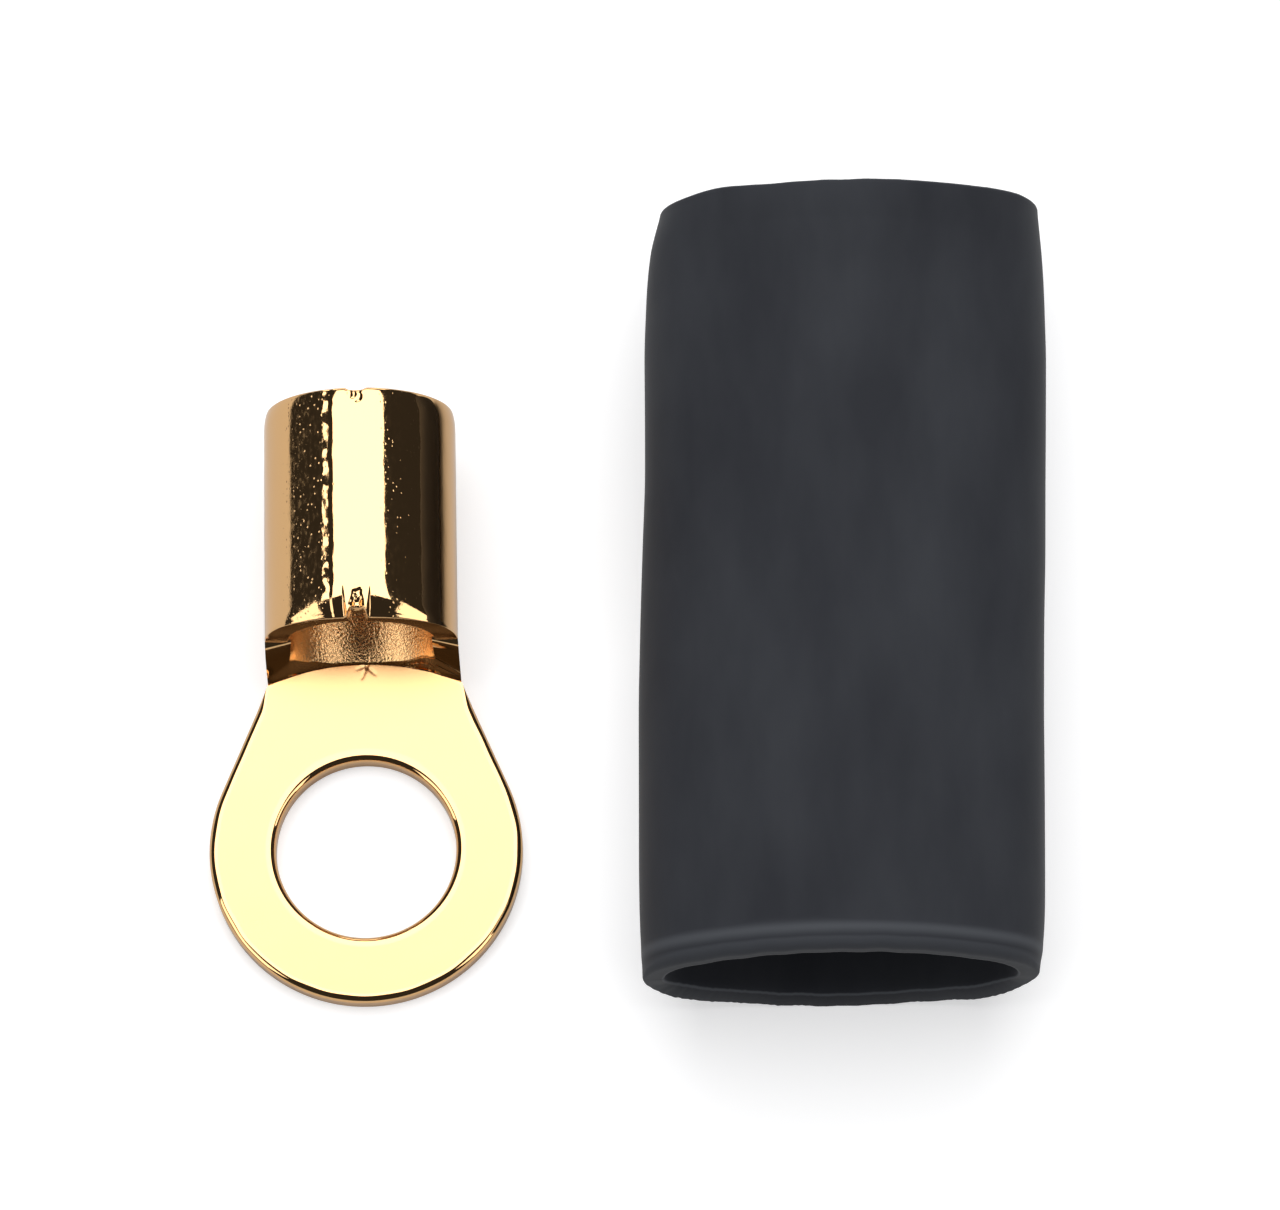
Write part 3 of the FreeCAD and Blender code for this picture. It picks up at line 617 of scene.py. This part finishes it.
def add_node(tree, kind, settings=None, **inputs):
    """Adds a node, sets its own settings and its inputs, and links the inputs that are given as outputs.

    An input is given by its name, with _ for a space, or by its number after a _.
    """
    node = tree.nodes.new(kind)
    for name, value in (settings or {}).items():
        setattr(node, name, value)
    for name, value in inputs.items():
        socket = node.inputs[int(name[1:])] if name[0] == "_" else node.inputs[name.replace("_", " ")]
        if isinstance(value, bpy.types.NodeSocket):
            tree.links.new(value, socket)
        else:
            socket.default_value = value
    return node


def new_material(name):
    """An empty node material, and its tree."""
    material = bpy.data.materials.new(name)
    material.use_nodes = True
    material.node_tree.nodes.clear()
    return material, material.node_tree


def gold_plating(look):
    """Bright gold plating on pressed and rolled brass."""
    # To the eye it is a warm near mirror: satin where the press coined it, frosted in the trough and the bore,
    # and pitted where the strip was stretched over the rolls.
    material, tree = new_material("bright_gold_plating")
    place = add_node(tree, "ShaderNodeTexCoord").outputs["Object"]
    pitted, frosted, satin = (add_node(tree, "ShaderNodeAttribute", {"attribute_name": mark}).outputs["Fac"]
                              for mark in ("pitted", "frosted", "satin"))
    # Pits 0.09 mm across lie 0.17 mm apart, drawn out along the barrel, and one in five is missing. They are
    # the scattered sparks on the barrel's sides.
    rolled = add_node(tree, "ShaderNodeMapping", Vector=place, Scale=(1.0, 0.7, 1.0)).outputs[0]
    cells = add_node(tree, "ShaderNodeTexVoronoi", {"feature": "F1"}, Vector=rolled, Scale=1 / (0.17 * MM),
                     Randomness=1.0).outputs
    pit = add_node(tree, "ShaderNodeMapRange", {"interpolation_type": "SMOOTHSTEP"}, Value=cells["Distance"],
                   From_Min=0.0, From_Max=0.26, To_Min=1.0, To_Max=0.0).outputs[0]
    chance = add_node(tree, "ShaderNodeSeparateColor", Color=cells["Color"]).outputs[0]
    depth = add_node(tree, "ShaderNodeMapRange", Value=chance, From_Min=0.2, From_Max=1.0, To_Min=0.0,
                     To_Max=1.0).outputs[0]
    depth = add_node(tree, "ShaderNodeMath", {"operation": "MULTIPLY"}, _0=depth, _1=pitted).outputs[0]
    pits = add_node(tree, "ShaderNodeMath", {"operation": "MULTIPLY"}, _0=pit, _1=depth).outputs[0]
    # The real tongue hangs a few degrees below the barrel's line. Here only the shading normal is turned towards the
    # front, that of the flat and, four times as far, that of the frosted places, so that the flat mirrors what lies
    # more to the front.
    facing = add_node(tree, "ShaderNodeNewGeometry").outputs["Normal"]
    hanging = add_node(tree, "ShaderNodeMath", {"operation": "MULTIPLY_ADD"}, _0=frosted, _1=4.0,
                       _2=satin).outputs[0]
    lean = add_node(tree, "ShaderNodeVectorMath", {"operation": "SCALE"}, _0=look.hang, Scale=hanging).outputs[0]
    facing = add_node(tree, "ShaderNodeVectorMath", {"operation": "ADD"}, _0=facing, _1=lean).outputs[0]
    facing = add_node(tree, "ShaderNodeVectorMath", {"operation": "NORMALIZE"}, _0=facing).outputs[0]
    # Frost is an orange peel of the plating, 0.12 mm coarse.
    peel = add_node(tree, "ShaderNodeTexNoise", Vector=place, Scale=1 / (0.12 * MM), Detail=2.0).outputs["Fac"]
    frost = add_node(tree, "ShaderNodeMath", {"operation": "MULTIPLY"}, _0=peel, _1=frosted).outputs[0]
    # The stretched strip has a grain around the pits, 0.07 mm fine.
    grain = add_node(tree, "ShaderNodeTexNoise", Vector=place, Scale=1 / (0.07 * MM), Detail=1.0).outputs["Fac"]
    grain = add_node(tree, "ShaderNodeMath", {"operation": "MULTIPLY"}, _0=grain, _1=pitted).outputs[0]
    bump = add_node(tree, "ShaderNodeBump", {"invert": True}, Height=pits, Strength=1.0, Distance=0.034 * MM,
                    Normal=facing).outputs[0]
    for height, distance in ((grain, 0.004 * MM), (frost, 0.045 * MM)):
        bump = add_node(tree, "ShaderNodeBump", Height=height, Strength=1.0, Distance=distance,
                        Normal=bump).outputs[0]
    # Between the pits the stretched strip is dull in streaks 0.16 mm wide.
    drawn = add_node(tree, "ShaderNodeMapping", Vector=place, Scale=(1.0, 0.45, 1.0)).outputs[0]
    streaks = add_node(tree, "ShaderNodeTexNoise", Vector=drawn, Scale=1 / (0.16 * MM), Detail=3.0).outputs["Fac"]
    streaks = add_node(tree, "ShaderNodeMapRange", Value=streaks, From_Min=0.42, From_Max=0.72, To_Min=0.0,
                       To_Max=0.30).outputs[0]
    rough = add_node(tree, "ShaderNodeMapRange", Value=satin, From_Min=0.0, From_Max=1.0, To_Min=0.045,
                     To_Max=0.27).outputs[0]
    rough = add_node(tree, "ShaderNodeMath", {"operation": "MULTIPLY_ADD"}, _0=streaks, _1=pitted,
                     _2=rough).outputs[0]
    rough = add_node(tree, "ShaderNodeMapRange", Value=frosted, From_Min=0.0, From_Max=1.0, To_Min=rough,
                     To_Max=0.23).outputs[0]
    shader = add_node(tree, "ShaderNodeBsdfPrincipled", Base_Color=look.gold, Metallic=1.0, Roughness=rough,
                      Normal=bump)
    add_node(tree, "ShaderNodeOutputMaterial", Surface=shader.outputs["BSDF"])
    return material


def heat_shrink(look):
    """Cross-linked polyolefin, extruded and expanded."""
    # To the eye it is a matt black with a faint chalky bloom, paler where it was cut or rubbed.
    material, tree = new_material("expanded_black_polyolefin")
    place = add_node(tree, "ShaderNodeTexCoord").outputs["Object"]
    scuffed = add_node(tree, "ShaderNodeAttribute", {"attribute_name": "scuffed"}).outputs["Fac"]
    # Bloom in soft patches some 4 mm wide, drawn out along the tube.
    stretch = add_node(tree, "ShaderNodeMapping", Vector=place, Scale=(1.0, 0.35, 1.0)).outputs[0]
    bloom = add_node(tree, "ShaderNodeTexNoise", Vector=stretch, Scale=1 / (4.0 * MM), Detail=4.0).outputs["Fac"]
    amount = add_node(tree, "ShaderNodeMapRange", Value=bloom, From_Min=0.35, From_Max=0.75, To_Min=0.0,
                      To_Max=0.24).outputs[0]
    pale = add_node(tree, "ShaderNodeMath", {"operation": "MAXIMUM"}, _0=amount, _1=scuffed).outputs[0]
    base = add_node(tree, "ShaderNodeMix", {"data_type": "RGBA"}, Factor=pale, _6=look.black,
                    _7=look.chalk).outputs[2]
    # The extruded skin's grain is finer than the picture shows, and is drawn 0.15 mm coarse.
    grain = add_node(tree, "ShaderNodeTexNoise", Vector=place, Scale=1 / (0.15 * MM), Detail=3.0).outputs["Fac"]
    bump = add_node(tree, "ShaderNodeBump", Height=grain, Strength=0.35, Distance=0.01 * MM).outputs[0]
    shader = add_node(tree, "ShaderNodeBsdfPrincipled", Base_Color=base, Roughness=0.8, IOR=1.5, Normal=bump,
                      Specular_IOR_Level=0.25, Sheen_Weight=0.10, Sheen_Roughness=0.4)
    add_node(tree, "ShaderNodeOutputMaterial", Surface=shader.outputs["BSDF"])
    return material


def white_table(look):
    """Matt white board."""
    # To the camera it is lifted to plain white, and keeps the shadow at the object's foot. In the plating it
    # shows as it is lit.
    material, tree = new_material("matt_white_board")
    path = add_node(tree, "ShaderNodeLightPath").outputs
    board = add_node(tree, "ShaderNodeBsdfDiffuse", Color=look.table, Roughness=0.0).outputs[0]
    lift = add_node(tree, "ShaderNodeEmission", Color=look.lift, Strength=path["Is Camera Ray"]).outputs[0]
    both = add_node(tree, "ShaderNodeAddShader", _0=board, _1=lift).outputs[0]
    add_node(tree, "ShaderNodeOutputMaterial", Surface=both)
    return material


# Stage

# Name, place, aim, width, height and radiance of each lamp, in metres.
SOFTBOXES = (
    ("overhead_softbox", (0.005, 0.364, 0.6), (0.005, 0.364, 0.0), 0.71, 0.83, 3.0),
    ("back_softbox", (0.0, 0.80, 0.24), (0.0, 0.02, 0.0), 0.70, 0.32, 2.8),
    ("left_front_softbox", (-0.40, -0.165, 0.25), (0.0, 0.01, 0.0), 0.32, 0.34, 2.1),
    ("right_front_softbox", (0.41, -0.165, 0.25), (0.0, 0.01, 0.0), 0.32, 0.34, 2.1),
)
ROOM_LIGHT = 0.035


def add_softbox(name, place, aim, width, height, radiance):
    """A rectangular lamp with an even face. Its power follows from its radiance and its area."""
    lamp = bpy.data.lights.new(name, "AREA")
    lamp.shape = "RECTANGLE"
    lamp.size = width
    lamp.size_y = height
    lamp.energy = radiance * math.pi * width * height
    box = bpy.data.objects.new(name, lamp)
    box.location = place
    box.rotation_euler = (Vector(aim) - Vector(place)).to_track_quat("-Z", "Y").to_euler()
    bpy.context.scene.collection.objects.link(box)


def add_room():
    """A dim, even room around the lamps."""
    world = bpy.data.worlds.new("dim_room")
    world.use_nodes = True
    background = world.node_tree.nodes["Background"]
    background.inputs["Color"].default_value = linear("FFFFFF")
    background.inputs["Strength"].default_value = ROOM_LIGHT
    bpy.context.scene.world = world


def add_table(look):
    """The board that the set lies on. It ends far outside the picture, and clears the set's underside."""
    half, clearance = 6.0, 0.02 * MM
    mesh = bpy.data.meshes.new("table")
    mesh.from_pydata([(-half, -half, 0), (half, -half, 0), (half, half, 0), (-half, half, 0)], [], [(0, 1, 2, 3)])
    mesh.materials.append(white_table(look))
    table = bpy.data.objects.new("table", mesh)
    table.location.z = -clearance
    bpy.context.scene.collection.objects.link(table)


def add_camera(look):
    """The camera, where the photograph was taken from."""
    aim = Vector((12.763, 12.056, 0.0)) * MM
    back = Vector((0.0, -math.cos(look.camera_elevation), math.sin(look.camera_elevation)))
    data = bpy.data.cameras.new("camera")
    data.sensor_width = 36.0
    data.lens = 172.6
    data.clip_start = 0.01
    data.clip_end = 50.0
    camera = bpy.data.objects.new("camera", data)
    camera.location = aim + back * look.camera_distance
    camera.rotation_euler = (math.pi / 2 - look.camera_elevation, 0.0, 0.0)
    bpy.context.scene.collection.objects.link(camera)
    camera.matrix_world = Matrix.Rotation(look.camera_turn, 4, "Z") @ camera.matrix_basis
    bpy.context.scene.camera = camera


class TERMINAL_OT_build(bpy.types.Operator):
    """Build the gold-plated terminal as one skin and let it stand for its node"""
    bl_idname = "terminal.build"
    bl_label = "Build ring terminal"

    def execute(self, context):
        look = context.scene.terminal_look
        skin = Skin("pitted", "frosted", "satin")
        add_tongue(skin, look)
        add_trough(skin, look)
        add_barrel(skin, look)
        piece = skin.build("plated_ring_terminal", gold_plating(look), 40.0)
        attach(piece, "root")
        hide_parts("ring_terminal")
        return {"FINISHED"}


class SLEEVE_OT_build(bpy.types.Operator):
    """Build the expanded heat shrink tube as one skin and let it stand for its node"""
    bl_idname = "sleeve.build"
    bl_label = "Build heat shrink sleeve"

    def execute(self, context):
        look = context.scene.sleeve_look
        skin = Skin("scuffed")
        add_sleeve(skin, look)
        piece = skin.build("expanded_sleeve", heat_shrink(look), 50.0)
        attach(piece, "root")
        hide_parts("heat_shrink_sleeve")
        return {"FINISHED"}


class STAGE_OT_build(bpy.types.Operator):
    """Set the table, the lamps and the camera"""
    bl_idname = "stage.build"
    bl_label = "Build stage"

    def execute(self, context):
        look = context.scene.stage_look
        add_table(look)
        for lamp in SOFTBOXES:
            add_softbox(*lamp)
        add_room()
        context.scene.view_settings.view_transform = "Standard"
        add_camera(look)
        return {"FINISHED"}


class VIEW3D_PT_ring_terminal(bpy.types.Panel):
    """Sidebar panel with the settings and the operators"""
    bl_label = "Ring terminal"
    bl_space_type = "VIEW_3D"
    bl_region_type = "UI"
    bl_category = "Ring terminal"

    def draw(self, context):
        for look, operator in ((context.scene.terminal_look, "terminal.build"),
                               (context.scene.sleeve_look, "sleeve.build"),
                               (context.scene.stage_look, "stage.build")):
            box = self.layout.box()
            for name in look.__annotations__:
                box.prop(look, name)
            box.operator(operator)


CLASSES = (TerminalSettings, SleeveSettings, StageSettings, TERMINAL_OT_build, SLEEVE_OT_build, STAGE_OT_build,
           VIEW3D_PT_ring_terminal)


def register():
    for item in CLASSES:
        bpy.utils.register_class(item)
    put_settings()


def unregister():
    for name in ("terminal_look", "sleeve_look", "stage_look"):
        delattr(bpy.types.Scene, name)
    for item in reversed(CLASSES):
        bpy.utils.unregister_class(item)


def main():
    """Builds everything in order."""
    register()
    bpy.ops.terminal.build()
    bpy.ops.sleeve.build()
    bpy.ops.stage.build()
    bpy.context.view_layer.update()


if __name__ == "__main__":
    main()
